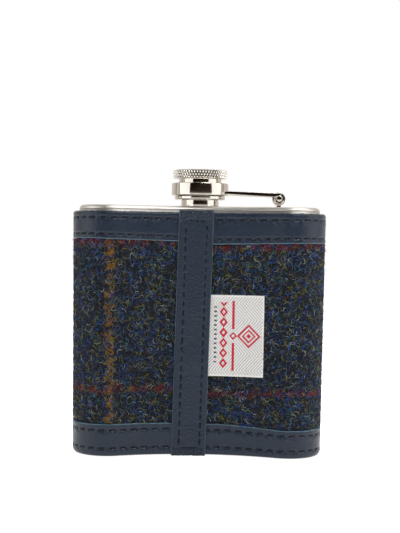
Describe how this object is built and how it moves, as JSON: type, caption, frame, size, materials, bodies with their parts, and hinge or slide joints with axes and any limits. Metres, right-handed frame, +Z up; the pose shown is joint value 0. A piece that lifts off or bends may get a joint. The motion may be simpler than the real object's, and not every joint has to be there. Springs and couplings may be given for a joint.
{
  "type": "hip flask",
  "caption": "Curved steel hip flask in a wool and leather sleeve, with a knurled screw cap held by a ring on a hinged arm.",
  "frame": {"origin": "middle of the flask's base, on the surface that it stands on", "axes": "+Z up along the flask's height, -Y out of the hollow side of the curved body, +X towards the cap's hinge"},
  "size_m": [0.0958, 0.0333, 0.1072],
  "materials": {
    "brushed_steel": "satin stainless steel with fine brushing",
    "polished_steel": "bright polished stainless steel",
    "seal": "matt soft seal",
    "lining": "plain woven lining",
    "tweed": "dark blue and olive felted wool tweed with rust-red and ochre overcheck lines",
    "leather": "navy smooth leather with a fine grain",
    "label": "white woven ribbon with red pattern",
    "thread": "dark navy sewing thread"
  },
  "bodies": {
    "flask": {"body_shell": "brushed_steel", "top_plate": "brushed_steel", "bottom_plate": "brushed_steel", "neck": "polished_steel", "hinge_bracket": "polished_steel", "sleeve_lining": "lining", "tweed_wrap": "tweed", "top_band": "leather", "bottom_band": "leather", "seam_strap": "leather", "woven_label": "label", "stitching_top_upper": "thread", "stitching_top_lower": "thread", "stitching_bottom_upper": "thread", "stitching_bottom_lower": "thread", "stitching_strap_left": "thread", "stitching_strap_right": "thread", "stitching_strap_ends": "thread"},
    "arm": {"arm": "polished_steel", "captive_ring": "polished_steel", "hinge_pin": "polished_steel"},
    "cap": {"cap_skirt": "polished_steel", "cap_head": "polished_steel", "cap_seal": "seal"}
  },
  "joints": [
    {"name": "arm_swing", "type": "hinge", "parent": "flask", "child": "arm", "pos_m": [0.03015, 0.00302, 0.0963], "axis": [0, 1, 0], "range_deg": [0, 180]},
    {"name": "cap_turn", "type": "hinge", "parent": "arm", "child": "cap", "pos_m": [0, 0.00302, 0.1], "axis": [0, 0, 1], "continuous": true}
  ]
}
